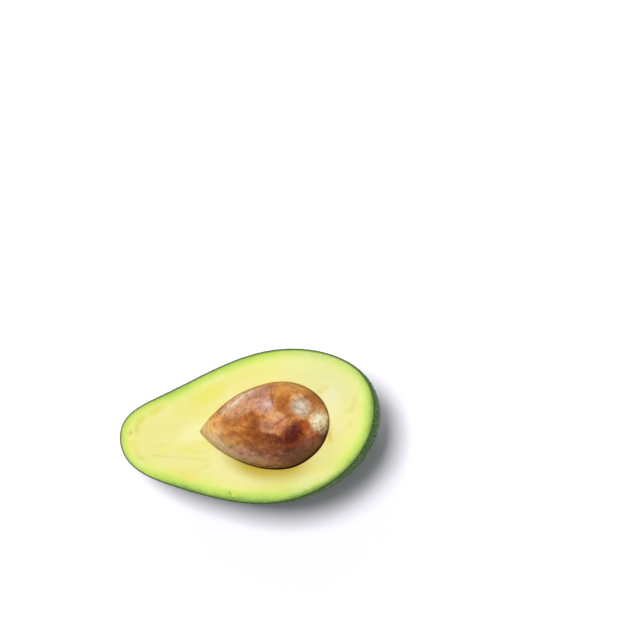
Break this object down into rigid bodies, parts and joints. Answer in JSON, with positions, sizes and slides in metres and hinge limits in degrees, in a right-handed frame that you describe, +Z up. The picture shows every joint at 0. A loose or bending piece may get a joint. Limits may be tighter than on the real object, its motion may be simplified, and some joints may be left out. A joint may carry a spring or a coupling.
{
  "type": "avocado half",
  "caption": "Pear-shaped avocado half, cut lengthwise: thin pebbled peel, pale flesh and the whole seed half sunk in its hollow. Lies on its rounded back, cut face up, as food.",
  "frame": {"origin": "the middle of the bounding box's base, on the surface that the half rests on, under its rounded back", "axes": "+X from the narrow neck to the broad end, +Z up, out of the cut face apart from the few degrees that the neck hangs down; +Y across the cut face"},
  "size_m": [0.1174, 0.0644, 0.0538],
  "materials": {
    "peel": "satin",
    "flesh": "satin",
    "seed": "satin"
  },
  "bodies": {
    "root": {"peel": "peel", "flesh": "flesh", "seed": "seed"}
  },
  "joints": []
}
